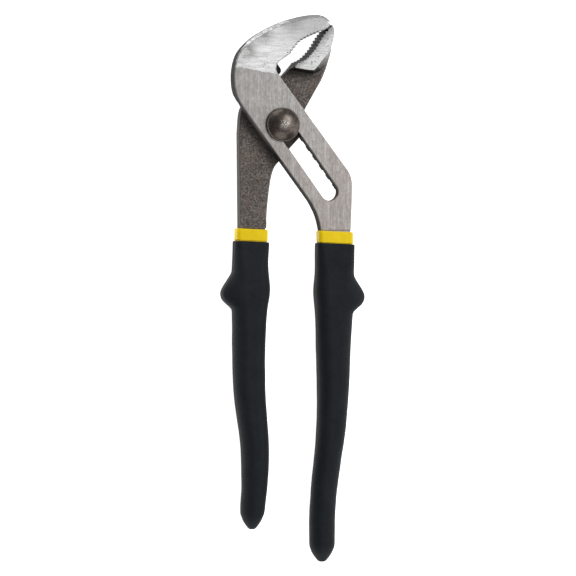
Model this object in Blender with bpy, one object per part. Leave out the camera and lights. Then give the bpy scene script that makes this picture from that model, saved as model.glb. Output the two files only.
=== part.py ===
"""Ten-inch groove-joint pliers, lying on a bench with the bolt head up and the jaws shut.

The origin is on the pivot bolt's axis, at the bench. +X runs across the tool, +Y runs along it to
the jaws, and +Z points up, out of the slotted half's face. Numbers are in millimetres until build()
turns them to metres.

Two forged halves cross at the pivot bolt. The bolt runs in a long slot in the slotted half. A curved
tongue on the other half sits in one of seven grooves beside the slot, and clears them only when the
handles are opened wide.
"""

import math

import bmesh
import bpy

MM = 0.001

# Heights above the bench.
HALF_THICKNESS = 5.85
BACK = 2.4  # back of the tongued half and of both jaws
MIDDLE_LOW = BACK + HALF_THICKNESS  # face of the tongued half
MIDDLE_HIGH = MIDDLE_LOW + 0.3  # back of the slotted half
FACE = MIDDLE_HIGH + HALF_THICKNESS

# The slot, and the seven grooves beside it.
SLOT_DIRECTION = math.radians(-54.1)
SLOT_WIDTH = 8.4
SLOT_TOP = -0.4
SLOT_BOTTOM = 38.9
POSITIONS = 7
PITCH = 5.5
TONGUE_RADIUS = 9.7
TONGUE_WIDTH = 2.2
TONGUE_HEIGHT = 1.5
TONGUE_SPAN = (28.0, 54.0)  # degrees round the bolt, from the slot's direction
GROOVE_PLAY = 0.25
RUN_OUT = 2.3  # how far the tongue's pocket goes on past the slot

# The pivot fasteners.
BOLT_DIAMETER = 8.0
HOLE_DIAMETER = 8.4
HEAD_DIAMETER = 16.0
HEAD_RIM = 1.4
HEAD_HEIGHT = 4.0
NUT_ACROSS_FLATS = 13.0
NUT_THICKNESS = 3.4
NUT_BORE = 8.6
SPOTFACE_DIAMETER = 17.0
SPOTFACE_DEPTH = 2.3
WASHER_DIAMETER = 14.6
WASHER_THICKNESS = 0.5
WASHER_WAVE = 0.12
CLEAR = 0.3

# The jaws.
TOOTH_PITCH = 1.75
TOOTH_DEPTH = 0.75
JAW_STEP_RADIUS = 22.3  # round the bolt, so that the tongued half swings clear of the upper jaw

# The dipped handles.
HANDLE_MIDDLE = 7.75
SKIN_AT_MOUTH = (0.0, 0.9, 1.05, 1.85, 2.0)  # black out, black in, yellow out, yellow in, steel
SKIN_BELOW = (0.0, 1.3, 1.45, 2.3, 2.45)
BAND_SKIN = 0.7
RING_CORNER_STEPS = 4
BUMP = [(-11, 0), (-8.2, 0.4), (-5.4, 2.3), (-3.2, 4.6), (0, 5.6), (2.8, 4.7), (7.3, 1.8), (9.8, 0.3), (12, 0)]
TIP_TAPER = [(0, 0.13), (0.2, 0.2), (0.7, 0.3), (1.6, 0.44), (3.2, 0.62), (4.2, 0.73), (6, 0.89), (8, 0.98),
             (10, 1), (200, 1)]


def arc(centre, radius, start, end, steps):
    """Points on an arc, its ends in degrees."""
    angles = [math.radians(start + (end - start) * i / steps) for i in range(steps + 1)]
    return [(centre[0] + radius * math.cos(a), centre[1] + radius * math.sin(a)) for a in angles]


def curve(points, steps=3):
    """Points on a smooth curve through the given ones."""
    ends = [points[0], *points, points[-1]]
    made = []
    for a, b, c, d in zip(ends, ends[1:], ends[2:], ends[3:]):
        for i in range(steps):
            t = i / steps
            made.append(tuple(
                b[k] + 0.5 * t * (c[k] - a[k] + t * (2 * a[k] - 5 * b[k] + 4 * c[k] - d[k]
                                                   + t * (3 * (b[k] - c[k]) + d[k] - a[k])))
                for k in (0, 1)))
    return made + [points[-1]]


def at(knots, where):
    """The value at one place of a smooth line through (place, value) knots."""
    knots = sorted(knots)
    where = min(max(where, knots[0][0]), knots[-1][0])
    last = len(knots) - 1
    i = max(k for k in range(last) if knots[k][0] <= where)

    def slope(k):
        low, high = knots[max(k - 1, 0)], knots[min(k + 1, last)]
        return (high[1] - low[1]) / (high[0] - low[0])

    (x0, y0), (x1, y1) = knots[i], knots[i + 1]
    width = x1 - x0
    t = (where - x0) / width
    return ((1 + 2 * t) * (1 - t) ** 2 * y0 + t * (1 - t) ** 2 * width * slope(i)
            + t * t * (3 - 2 * t) * y1 + t * t * (t - 1) * width * slope(i + 1))


def toothed(points):
    """A gripping edge along a curve, with its teeth standing out to the curve's left."""
    line = curve(points, 12)
    reach = [0.0]
    for a, b in zip(line, line[1:]):
        reach.append(reach[-1] + math.dist(a, b))
    count = round(reach[-1] / TOOTH_PITCH)
    made = []
    for tooth in range(count):
        for share, height in ((0.0, -0.5), (0.6, 0.5)):
            distance = reach[-1] * (tooth + share) / count
            i = max(k for k in range(len(reach) - 1) if reach[k] <= distance)
            a, b = line[i], line[i + 1]
            length = math.dist(a, b)
            t = (distance - reach[i]) / length
            x, y = a[0] + t * (b[0] - a[0]), a[1] + t * (b[1] - a[1])
            out = height * TOOTH_DEPTH / length
            made.append((x - out * (b[1] - a[1]), y + out * (b[0] - a[0])))
    return made + [points[-1]]


def by_slot(along, across):
    """A point given by its place along the slot from the bolt, and by its distance to the slot's right."""
    c, s = math.cos(SLOT_DIRECTION), math.sin(SLOT_DIRECTION)
    return along * c - across * s, along * s + across * c


def material(name, colour, roughness, metallic):
    made = bpy.data.materials.new(name)
    made.use_nodes = True
    shader = made.node_tree.nodes["Principled BSDF"]
    shader.inputs["Base Color"].default_value = (*colour, 1)
    shader.inputs["Roughness"].default_value = roughness
    shader.inputs["Metallic"].default_value = metallic
    return made


def build(name, bm, finish=None, smooth=False):
    """An object from a bmesh in millimetres, with its faces turned outwards."""
    bmesh.ops.scale(bm, vec=(MM, MM, MM), verts=bm.verts)
    bmesh.ops.recalc_face_normals(bm, faces=bm.faces)
    mesh = bpy.data.meshes.new(name)
    bm.to_mesh(mesh)
    bm.free()
    if smooth:
        mesh.shade_smooth()
        mesh.set_sharp_from_angle(angle=math.radians(35))
    made = bpy.data.objects.new(name, mesh)
    bpy.context.collection.objects.link(made)
    if finish:
        mesh.materials.append(finish)
    return made


def plate(name, outline, low, high, finish=None):
    """A flat outline raised between two heights."""
    bm = bmesh.new()
    base = bm.faces.new([bm.verts.new((x, y, low)) for x, y in outline])
    raised = bmesh.ops.extrude_face_region(bm, geom=[base])["geom"]
    moved = [piece for piece in raised if isinstance(piece, bmesh.types.BMVert)]
    bmesh.ops.translate(bm, vec=(0, 0, high - low), verts=moved)
    return build(name, bm, finish)


def loft(name, rings, finish=None):
    """A closed body through a row of rings with equal counts of points, capped at both ends."""
    bm = bmesh.new()
    rows = [[bm.verts.new(point) for point in ring] for ring in rings]
    for a, b in zip(rows, rows[1:]):
        for i in range(len(a)):
            j = (i + 1) % len(a)
            bm.faces.new((a[i], a[j], b[j], b[i]))
    bm.faces.new(rows[0])
    bm.faces.new(rows[-1])
    return build(name, bm, finish, smooth=True)


def turned(name, profile, finish, sides=36):
    """A solid of revolution about the bolt's axis, from (radius, height) points. A zero radius closes it."""
    bm = bmesh.new()
    rows = []
    for radius, height in profile:
        around = range(sides) if radius else range(1)
        angles = [2 * math.pi * i / sides for i in around]
        rows.append([bm.verts.new((radius * math.cos(a), radius * math.sin(a), height)) for a in angles])
    for a, b in zip(rows, rows[1:] + rows[:1]):
        if len(a) == len(b) == 1:
            continue
        for i in range(sides):
            j = (i + 1) % sides
            corners = [a[i % len(a)], a[j % len(a)], b[j % len(b)], b[i % len(b)]]
            bm.faces.new(list(dict.fromkeys(corners)))
    return build(name, bm, finish, smooth=True)


def boolean(target, tool, operation="DIFFERENCE"):
    tool.hide_render = True
    tool.display_type = "WIRE"
    modifier = target.modifiers.new(tool.name, "BOOLEAN")
    modifier.operation = operation
    modifier.solver = "EXACT"
    modifier.object = tool


class Handle:
    """A dipped handle: its edges as (y, x) knots, and where its band, grip, bump and tip are."""

    def __init__(self, band, mouth, tip, left, right, bump_at, bump_side, steel_middle):
        self.band = band
        self.mouth = mouth
        self.tip = tip
        self.left = left
        self.right = right
        self.bump_at = bump_at
        self.bump_side = bump_side
        self.steel_middle = steel_middle

    def ring(self, y, skin, bump=False):
        """A rounded rectangle round the handle at y, this far inside the grip's outer face."""
        left, right = at(self.left, y), at(self.right, y)
        below = self.mouth - y
        taper = at(TIP_TAPER, y - self.tip[1])
        centre = self.tip[0] + ((left + right) / 2 - self.tip[0]) * min(1, (y - self.tip[1]) / 10)
        middle = at([(-6, self.steel_middle), (1, self.steel_middle), (20, HANDLE_MIDDLE), (160, HANDLE_MIDDLE)],
                    below)
        thick = at([(-6, 4.75), (1, 4.75), (20, 7.4), (27, 7.6), (37, 7.1), (70, 7.2), (100, 6.8), (150, 6.1)],
                   below)
        corner = at([(-6, 2.6), (1, 2.8), (20, 5.6), (150, 5.6)], below)
        a = (right - left) / 2 * taper - skin
        b = thick * taper - skin
        r = min(max(corner * taper - skin, 0.6), a - 0.05, b - 0.05)
        out = at(BUMP, y - self.bump_at) if bump else 0
        points = []
        for quarter in range(4):
            cx = (a - r) * (1 if quarter in (0, 3) else -1)
            cz = (b - r) * (1 if quarter in (0, 1) else -1)
            for x, z in arc((cx, cz), r, 90 * quarter, 90 * quarter + 90, RING_CORNER_STEPS):
                share = max(0, self.bump_side * x / a)
                points.append((centre + x + self.bump_side * out * share ** 2, y, middle + z))
        return points

    def rows(self, layer, end, start=None, bump=False):
        """The rings of one skin, from its top down to `end` mm short of the tip."""
        start = self.mouth if start is None else start
        stops = [self.mouth - d for d in (0, 6, 13, 20)]
        if bump:
            stops += [self.bump_at + d for d in (9.8, 7.3, 5, 2.8, 1.2, -0.6, -2.0, -3.8, -5.4, -7.0, -9, -11)]
        else:
            stops += [self.bump_at, self.bump_at - 9]
        below = self.bump_at - 18
        stops += [below + (self.tip[1] + 22 - below) * i / 6 for i in range(7)]
        stops += [self.tip[1] + d for d in (14, 10, 8, 6, 4.2, 3.2, 1.6, 0.7, 0.2, 0) if d >= end]
        if start > self.mouth:
            stops = [start] + stops
        fade = [(0, 0), (2, 0), (14, 1), (200, 1)]
        made = []
        for y in stops:
            share = at(fade, self.mouth - y)
            skin = SKIN_AT_MOUTH[layer] + (SKIN_BELOW[layer] - SKIN_AT_MOUTH[layer]) * share
            made.append(self.ring(y, skin, bump))
        return made

    def add_dips(self, name, yellow, black):
        """The yellow underlayer and the black grip over it, each a cup with a rounded end."""
        band = [self.ring(self.band, BAND_SKIN + 0.25), self.ring(self.band - 0.3, BAND_SKIN),
                self.ring(self.mouth + 0.3, BAND_SKIN), self.ring(self.mouth + 0.2, SKIN_AT_MOUTH[2])]
        inside = self.rows(3, 6, start=self.band)
        under = loft(f"{name}_yellow_underlayer", inside[::-1] + band + self.rows(2, 4.2), yellow)
        rim = [self.ring(self.mouth, 0.35), self.ring(self.mouth - 0.35, 0)]
        outside = rim + self.rows(0, 0, bump=True)[1:]
        grip = loft(f"{name}_black_grip", self.rows(1, 3.2)[::-1] + outside, black)
        return under, grip

    def core(self, top):
        """The steel inside the dips, rising into the half that it is forged with."""
        return loft("handle_core", [self.ring(top, SKIN_AT_MOUTH[4] + 0.3)] + self.rows(4, 8, start=self.band + 1))


SLOTTED_HANDLE = Handle(
    band=-50.1, mouth=-55.9, tip=(20.9, -205.9), bump_at=-81.0, bump_side=1,
    steel_middle=(MIDDLE_HIGH + FACE) / 2,
    left=[(-206, 15.0), (-185, 15.0), (-168, 16.2), (-149, 18.2), (-129, 19.0), (-100, 18.3), (-88, 18.0),
          (-79, 17.3), (-70, 17.6), (-56, 17.1), (-40, 17.1)],
    right=[(-206, 27.0), (-180, 27.4), (-161, 29.7), (-143, 32.4), (-120, 34.1), (-100, 35.0), (-90, 35.6),
           (-70, 35.9), (-56, 35.3), (-40, 35.2)])

TONGUED_HANDLE = Handle(
    band=-49.0, mouth=-54.9, tip=(-13.2, -190.3), bump_at=-79.4, bump_side=-1,
    steel_middle=(BACK + MIDDLE_LOW) / 2,
    left=[(-191, -18.7), (-180, -18.6), (-170, -18.1), (-150, -18.7), (-130, -21.4), (-115, -22.4),
          (-90, -22.6), (-69, -22.4), (-55, -21.3), (-40, -21.1)],
    right=[(-191, -7.6), (-180, -7.0), (-165, -5.5), (-149, -5.4), (-130, -6.8), (-119, -7.2), (-105, -7.1),
           (-88, -6.2), (-78, -4.9), (-67, -5.4), (-55, -4.7), (-40, -4.8)])


def slotted_half(finish):
    """Outer jaw, slotted bar and handle core, forged in one. The back is cut away to leave the jaw thick."""
    bar_right = curve([(33.3, -49.8), (33.8, -38.0), (34.0, -27.5), (32.6, -22.3)]) + [(-1.3, 22.8)]
    throat = [(0.6, 25.2), (1.3, 27.5), (1.3, 31.5), (3.8, 33.4)]
    grip_edge = toothed([(3.8, 33.8), (5.6, 36.2), (8.5, 39.5), (12.4, 41.7), (17.7, 43.9)])
    nose = curve([(20.6, 44.7), (22.1, 45.6), (23.3, 46.8), (23.4, 48.4), (22.1, 50.1), (19.4, 51.5),
                  (15.5, 51.9)])
    back_of_jaw = curve([(8.5, 51.0), (-1.3, 48.2), (-11.0, 43.5), (-17.8, 38.0), (-21.6, 32.6),
                         (-23.2, 25.6), (-23.0, 17.5), (-20.7, 10.1)])
    bar_left = curve([(13.3, -35.7), (16.0, -40.6), (17.6, -44.9), (18.7, -49.8)])
    outline = bar_right + throat + grip_edge + nose + back_of_jaw + bar_left
    body = plate("slotted_half", outline, BACK, FACE, finish)

    below_jaw = arc((0, 0), JAW_STEP_RADIUS, 78, 175, 14)
    away = below_jaw + [(-40, 2), (-40, -70), (60, -70), (60, 22), (4, 22)]
    boolean(body, plate("jaw_step_cutter", away, BACK - 5, MIDDLE_HIGH))

    # A round nick at the throat goes in from the face, and leaves a ledge behind it.
    nick = arc((1.5, 26.4), 4.5, 225, 137, 6) + [(3.4, 33.1), (6.0, 32.0), (4.0, 23.0)]
    boolean(body, plate("throat_cutter", nick, MIDDLE_HIGH - 0.15, FACE + 5))

    half = SLOT_WIDTH / 2
    turn = math.degrees(SLOT_DIRECTION)
    top = arc(by_slot(SLOT_TOP, 0), half, turn + 90, turn + 270, 12)
    bottom = arc(by_slot(SLOT_BOTTOM, 0), half, turn - 90, turn + 90, 12)
    boolean(body, plate("slot_cutter", top + bottom, BACK, FACE + 5))
    pocket = (arc(by_slot(SLOT_BOTTOM - 3, 0), half - 0.02, turn + 90, turn + 270, 8)
              + arc(by_slot(SLOT_BOTTOM + RUN_OUT, 0), half - 0.02, turn - 90, turn + 90, 10))
    ceiling = MIDDLE_LOW + TONGUE_HEIGHT + CLEAR
    boolean(body, plate("run_out_cutter", pocket, BACK, ceiling))

    inner = TONGUE_RADIUS - TONGUE_WIDTH / 2 - GROOVE_PLAY
    outer = TONGUE_RADIUS + TONGUE_WIDTH / 2 + GROOVE_PLAY
    for k in range(POSITIONS):
        centre = by_slot(k * PITCH, 0)
        start, end = turn + 5, turn + TONGUE_SPAN[1] + 2
        groove = arc(centre, outer, start, end, 7) + arc(centre, inner, end, start, 7)
        boolean(body, plate(f"groove_cutter_{k + 1}", groove, BACK, ceiling - 0.01 * (k % 2)))

    boolean(body, SLOTTED_HANDLE.core(-44), "UNION")
    return body


def tongued_half(finish):
    """Inner jaw, hub, tongue, shank and handle core, forged in one. The face is cut away below the jaw."""
    shank_right = curve([(-6.2, -48.7), (-5.7, -40.2), (-4.8, -31.7), (-3.8, -25.1), (-2.4, -20.6),
                         (-0.6, -17.9)]) + [(4.7, -11.5)]
    hub = curve([(9.6, -6.3), (11.1, -2.6), (11.3, 2.0), (12.4, 7.0)])
    neck = curve([(18.3, 17.2), (20.9, 21.4), (23.7, 28.4), (25.5, 36.0), (25.7, 42.0), (24.9, 46.2),
                  (24.1, 47.2)])
    grip_edge = toothed([(22.5, 45.0), (20.8, 43.5), (18.2, 39.8), (16.4, 36.7), (13.5, 33.1), (10.3, 30.4),
                         (7.3, 29.1)])
    behind = [(4.4, 25.6)] + curve([(1.9, 23.0), (-7.5, 17.6), (-15.3, 11.0), (-18.5, 6.1), (-19.4, -4.0)])
    outline = shank_right + hub + neck + [(23.8, 46.3)] + grip_edge + behind + [(-19.0, -48.7)]
    body = plate("tongued_half", outline, BACK, FACE, finish)

    beside_jaw = [(2.0, 30.5), (5.2, 28.6), (6.3, 26.8), (11.9, 25.9), (15.3, 25.6)]
    beside_jaw += curve([(17.2, 27.5), (19.2, 30.2), (21.6, 33.0), (23.8, 37.0), (25.0, 41.0), (25.4, 45.0)])
    away = beside_jaw + [(35, 47), (35, -70), (-40, -70), (-40, 30.5)]
    boolean(body, plate("face_cutter", away, MIDDLE_LOW, FACE + 5))

    turn = math.degrees(SLOT_DIRECTION)
    start, end = turn + TONGUE_SPAN[0], turn + TONGUE_SPAN[1]
    tongue = (arc((0, 0), TONGUE_RADIUS + TONGUE_WIDTH / 2, start, end, 6)
              + arc((0, 0), TONGUE_RADIUS - TONGUE_WIDTH / 2, end, start, 6))
    boolean(body, plate("tongue", tongue, MIDDLE_LOW - 1, MIDDLE_LOW + TONGUE_HEIGHT), "UNION")

    hole = [(0, BACK - 5), (HOLE_DIAMETER / 2, BACK - 5), (HOLE_DIAMETER / 2, FACE), (0, FACE)]
    boolean(body, turned("hole_cutter", hole, None))
    floor = BACK + SPOTFACE_DEPTH
    spotface = [(0, BACK - 5), (SPOTFACE_DIAMETER / 2, BACK - 5), (SPOTFACE_DIAMETER / 2, floor), (0, floor)]
    boolean(body, turned("spotface_cutter", spotface, None))

    boolean(body, TONGUED_HANDLE.core(-43), "UNION")
    return body


def pivot_bolt(finish):
    """A round-headed bolt whose plain shank fills the slot's width. Its far end is flush with the nut."""
    low = FACE + CLEAR
    radius = HEAD_DIAMETER / 2
    rise = HEAD_HEIGHT - HEAD_RIM
    inner = radius - 0.55
    dome_radius = (inner ** 2 + rise ** 2) / (2 * rise)
    spread = math.degrees(math.asin(inner / dome_radius))
    dome = arc((0, low + HEAD_HEIGHT - dome_radius), dome_radius, 90 - spread, 90, 8)[:-1]
    shank = BOLT_DIAMETER / 2
    profile = [(0, 0), (shank - 0.6, 0), (shank, 0.6), (shank, low), (radius - 0.3, low), (radius, low + 0.3),
               (radius, low + HEAD_RIM - 0.2), (radius - 0.2, low + HEAD_RIM), *dome, (0, low + HEAD_HEIGHT)]
    return turned("pivot_bolt", profile, finish)


def lock_nut(finish):
    """A thin hexagon nut with its corners chamfered, sunk in the spotface behind the tongued half."""
    bore = NUT_BORE / 2
    corner = NUT_ACROSS_FLATS / math.sqrt(3)
    flats = plate("lock_nut", arc((0, 0), corner, 0, 300, 5), 0, NUT_THICKNESS, finish)
    wide = corner + 1
    chamfer = turned("nut_chamfer", [(0, -1), (corner - 2.4, -1), (wide, 1.2), (wide, NUT_THICKNESS - 0.6),
                                     (corner - 1.4, NUT_THICKNESS + 1), (0, NUT_THICKNESS + 1)], None)
    boolean(flats, chamfer, "INTERSECT")
    drill = turned("nut_drill", [(0, -2), (bore, -2), (bore, NUT_THICKNESS + 2), (0, NUT_THICKNESS + 2)], None)
    boolean(flats, drill)
    return flats


def wave_washer(finish, sides=36):
    """A thin spring ring bent into three waves, between the nut and the tongued half."""
    middle = (NUT_THICKNESS + BACK + SPOTFACE_DEPTH) / 2
    rings = []
    for i in range(sides):
        angle = 2 * math.pi * i / sides
        height = middle + WASHER_WAVE * math.cos(3 * angle)
        edges = [(NUT_BORE / 2, -1), (WASHER_DIAMETER / 2, -1), (WASHER_DIAMETER / 2, 1), (NUT_BORE / 2, 1)]
        rings.append([(r * math.cos(angle), r * math.sin(angle), height + side * WASHER_THICKNESS / 2)
                      for r, side in edges])
    bm = bmesh.new()
    rows = [[bm.verts.new(point) for point in ring] for ring in rings]
    for a, b in zip(rows, rows[1:] + rows[:1]):
        for i in range(4):
            j = (i + 1) % 4
            bm.faces.new((a[i], a[j], b[j], b[i]))
    return build("wave_washer", bm, finish)


def axis(name, parent=None):
    """An empty on the bolt's axis, which the pieces of one moving body hang from."""
    made = bpy.data.objects.new(name, None)
    bpy.context.collection.objects.link(made)
    made.parent = parent
    return made


for old in list(bpy.data.objects):
    bpy.data.objects.remove(old)

ground_steel = material("ground_steel", (0.50, 0.47, 0.45), 0.38, 0.9)
forged_steel = material("forged_steel", (0.16, 0.14, 0.13), 0.6, 0.8)
bolt_steel = material("bolt_steel", (0.14, 0.11, 0.10), 0.3, 0.9)
spring_steel = material("spring_steel", (0.30, 0.29, 0.28), 0.35, 0.9)
yellow_dip = material("yellow_dip", (0.80, 0.58, 0.02), 0.45, 0)
black_dip = material("black_dip", (0.015, 0.016, 0.018), 0.65, 0)

slotted_half(ground_steel)
SLOTTED_HANDLE.add_dips("slotted_half", yellow_dip, black_dip)

slide_axis = axis("slide_axis")
for piece in (pivot_bolt(bolt_steel), wave_washer(spring_steel), lock_nut(bolt_steel)):
    piece.parent = slide_axis

hinge_axis = axis("hinge_axis", slide_axis)
for piece in (tongued_half(forged_steel), *TONGUED_HANDLE.add_dips("tongued_half", yellow_dip, black_dip)):
    piece.parent = hinge_axis
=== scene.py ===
"""The looks of a pair of ten-inch groove-joint pliers, lying shut on a white table with the bolt head up.

Each section makes one piece, or two like ones, in the order in which the tool is put together. Lengths
are in millimetres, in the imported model's own axes: the bolt's axis is at x = y = 0 and the table at z = 0.
"""

import math

import bmesh
import bpy
from mathutils import Matrix, Vector, noise


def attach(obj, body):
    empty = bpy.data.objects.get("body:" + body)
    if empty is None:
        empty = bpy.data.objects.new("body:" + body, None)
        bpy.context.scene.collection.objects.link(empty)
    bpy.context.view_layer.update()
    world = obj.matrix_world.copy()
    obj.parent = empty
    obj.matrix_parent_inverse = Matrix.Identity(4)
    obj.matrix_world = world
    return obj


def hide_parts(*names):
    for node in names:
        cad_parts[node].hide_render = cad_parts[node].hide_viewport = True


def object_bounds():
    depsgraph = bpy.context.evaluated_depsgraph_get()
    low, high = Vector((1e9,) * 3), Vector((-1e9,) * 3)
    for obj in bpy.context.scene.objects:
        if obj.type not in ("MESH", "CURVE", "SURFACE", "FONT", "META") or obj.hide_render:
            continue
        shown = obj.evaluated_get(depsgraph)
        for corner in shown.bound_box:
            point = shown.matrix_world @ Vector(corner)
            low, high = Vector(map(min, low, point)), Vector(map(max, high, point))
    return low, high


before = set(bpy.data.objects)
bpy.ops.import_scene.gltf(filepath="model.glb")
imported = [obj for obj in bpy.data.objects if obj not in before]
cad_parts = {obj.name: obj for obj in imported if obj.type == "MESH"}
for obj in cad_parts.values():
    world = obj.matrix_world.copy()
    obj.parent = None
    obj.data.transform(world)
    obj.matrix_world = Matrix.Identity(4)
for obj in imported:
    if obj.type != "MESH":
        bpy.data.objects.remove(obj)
cad_low, cad_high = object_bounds()


# ---- Slotted half ----
# One drop forging: outer jaw, slotted bar and handle core. Both faces are ground flat, the jaw's face is
# polished and its back edge is bevelled on a belt. The sides keep the black skin of the forging. The slot
# is pierced, and the seven arc grooves beside it are milled into the back of the bar.

MM = 0.001
BACK = 2.4
MIDDLE_LOW = 8.25
MIDDLE_HIGH = 8.55
FACE = 14.4
SLOT_TURN = -54.1
SLOT_HALF_WIDTH = 4.2
SLOT_TOP, SLOT_BOTTOM, RUN_OUT = -0.4, 38.9, 2.3
GROOVES, GROOVE_PITCH = 7, 5.5
GROOVE_RADII = (8.35, 11.05)
GROOVE_CEILING = 10.05
EDGE_STEPS = 4


def arc(centre, radius, start, end, steps):
    """Points on an arc, its ends in degrees."""
    angles = [math.radians(start + (end - start) * i / steps) for i in range(steps + 1)]
    return [(centre[0] + radius * math.cos(a), centre[1] + radius * math.sin(a)) for a in angles]


def curve(points, steps=8):
    """Points on a smooth curve through the given ones."""
    ends = [points[0], *points, points[-1]]
    made = []
    for a, b, c, d in zip(ends, ends[1:], ends[2:], ends[3:]):
        for i in range(steps):
            t = i / steps
            made.append(tuple(
                b[k] + 0.5 * t * (c[k] - a[k] + t * (2 * a[k] - 5 * b[k] + 4 * c[k] - d[k]
                                                   + t * (3 * (b[k] - c[k]) + d[k] - a[k])))
                for k in (0, 1)))
    return made + [points[-1]]


# One tooth's profile: shares of its pitch, and heights in tooth depths.
TOOTH = ((0.0, -0.5), (0.08, -0.44), (0.53, 0.42), (0.6, 0.5), (0.67, 0.42), (0.94, -0.42))


def toothed(points, pitch=1.75, depth=0.75):
    """A gripping edge along a curve, with its teeth standing out to the curve's left."""
    line = curve(points, 16)
    reach = [0.0]
    for a, b in zip(line, line[1:]):
        reach.append(reach[-1] + math.dist(a, b))
    count = round(reach[-1] / pitch)
    made = []
    for tooth in range(count):
        for share, height in TOOTH:
            distance = reach[-1] * (tooth + share) / count
            i = max(k for k in range(len(reach) - 1) if reach[k] <= distance)
            a, b = line[i], line[i + 1]
            length = math.dist(a, b)
            t = (distance - reach[i]) / length
            x, y = a[0] + t * (b[0] - a[0]), a[1] + t * (b[1] - a[1])
            out = height * depth / length
            made.append((x - out * (b[1] - a[1]), y + out * (b[0] - a[0])))
    return made + [points[-1]]


def by_slot(along, across):
    """A point given by its place along the slot from the bolt, and by its distance to the slot's right."""
    c, s = math.cos(math.radians(SLOT_TURN)), math.sin(math.radians(SLOT_TURN))
    return along * c - across * s, along * s + across * c


def mesh_object(name, bm):
    """An object from a bmesh, with its faces turned outwards. It stays a thousand times too big for now."""
    bmesh.ops.recalc_face_normals(bm, faces=bm.faces)
    bmesh.ops.triangulate(bm, faces=bm.faces)
    mesh = bpy.data.meshes.new(name)
    bm.to_mesh(mesh)
    bm.free()
    made = bpy.data.objects.new(name, mesh)
    bpy.context.scene.collection.objects.link(made)
    return made


def lofted(name, rings, closed_row=False):
    """A body through a row of rings with equal counts of points, capped unless the row closes on itself."""
    bm = bmesh.new()
    rows = [[bm.verts.new(point) for point in ring] for ring in rings]
    pairs = list(zip(rows, rows[1:] + rows[:1])) if closed_row else list(zip(rows, rows[1:]))
    for a, b in pairs:
        for i in range(len(a)):
            j = (i + 1) % len(a)
            bm.faces.new((a[i], a[j], b[j], b[i]))
    if not closed_row:
        bm.faces.new(rows[0])
        bm.faces.new(rows[-1])
    return mesh_object(name, bm)


def blank(name, stretches, low, high, shrunk=0.0):
    """A flat forging with its rims broken. A stretch of outline is (points, upper rim, lower rim, flat): the
    rims are sizes, and flat is 1 for a bevel and 0 for a round."""
    outline = [(x, y, *rims) for points, *rims in stretches for x, y in points]
    outline = [p for p, q in zip(outline, outline[1:] + outline[:1]) if math.dist(p[:2], q[:2]) > 1e-4]
    count = len(outline)
    rims = [p[2:] for p in outline]
    for _ in range(40):
        rims = [[min(b, (a + 2 * b + c) / 4) for a, b, c in zip(rims[i - 1], rims[i], rims[(i + 1) % count])]
                for i in range(count)]
    spun = sum(p[0] * q[1] - q[0] * p[1] for p, q in zip(outline, outline[1:] + outline[:1]))
    side = 1 if spun > 0 else -1
    inward = []
    for i in range(count):
        before, here, after = (Vector(outline[k % count][:2]) for k in (i - 1, i, i + 1))
        a, b = (here - before).normalized(), (after - here).normalized()
        normals = Vector((-a.y, a.x)) * side, Vector((-b.y, b.x)) * side
        inward.append((normals[0] + normals[1]) / max(1 + normals[0].dot(normals[1]), 0.6))

    def ring(step, upper):
        made = []
        for (x, y, *_), (top, bottom, flat), into in zip(outline, rims, inward):
            size = top if upper else bottom
            turn = math.pi / 2 * step / EDGE_STEPS
            inset = shrunk + size * ((1 - flat) * (1 - math.cos(turn)) + flat * step / EDGE_STEPS)
            drop = size * ((1 - flat) * (1 - math.sin(turn)) + flat * (1 - step / EDGE_STEPS))
            made.append((x + into.x * inset, y + into.y * inset, high - drop if upper else low + drop))
        return made

    rings = [ring(step, False) for step in range(EDGE_STEPS, -1, -1)]
    return lofted(name, rings + [ring(step, True) for step in range(EDGE_STEPS + 1)])


def prism(name, lower, upper, low, high):
    """A cutter between two outlines with equal counts of points."""
    return lofted(name, [[(x, y, low) for x, y in lower], [(x, y, high) for x, y in upper]])


def worked(body, operation, tools):
    """Cuts tools from a body, or joins them to it, and settles the result into a plain closed mesh."""
    for tool in tools:
        modifier = body.modifiers.new(tool.name, "BOOLEAN")
        modifier.operation = operation
        modifier.object = tool
    graph = bpy.context.evaluated_depsgraph_get()
    settled = bpy.data.meshes.new_from_object(body.evaluated_get(graph))
    body.modifiers.clear()
    body.data = settled
    for tool in tools:
        bpy.data.objects.remove(tool)
    bm = bmesh.new()
    bm.from_mesh(settled)
    bmesh.ops.remove_doubles(bm, verts=bm.verts, dist=0.004)
    bmesh.ops.holes_fill(bm, edges=[edge for edge in bm.edges if edge.is_boundary], sides=8)
    bm.to_mesh(settled)
    bm.free()
    return body


def shaded(body, smooth=32):
    """Brings a body to its real size, and shades it smooth. Flat faces stay flat, and edges over this angle
    stay sharp."""
    body.data.transform(Matrix.Scale(MM, 4))
    body.data.shade_smooth()
    body.data.set_sharp_from_angle(angle=math.radians(smooth))
    modifier = body.modifiers.new("flat_faces_stay_flat", "WEIGHTED_NORMAL")
    modifier.keep_sharp = True
    return body


def at(knots, where):
    """The value at one place of a smooth line through (place, value) knots."""
    where = min(max(where, knots[0][0]), knots[-1][0])
    last = len(knots) - 1
    i = max(k for k in range(last) if knots[k][0] <= where)

    def slope(k):
        low, high = knots[max(k - 1, 0)], knots[min(k + 1, last)]
        return (high[1] - low[1]) / (high[0] - low[0])

    (x0, y0), (x1, y1) = knots[i], knots[i + 1]
    width = x1 - x0
    t = (where - x0) / width
    return ((1 + 2 * t) * (1 - t) ** 2 * y0 + t * (1 - t) ** 2 * width * slope(i)
            + t * t * (3 - 2 * t) * y1 + t * t * (t - 1) * width * slope(i + 1))


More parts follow.
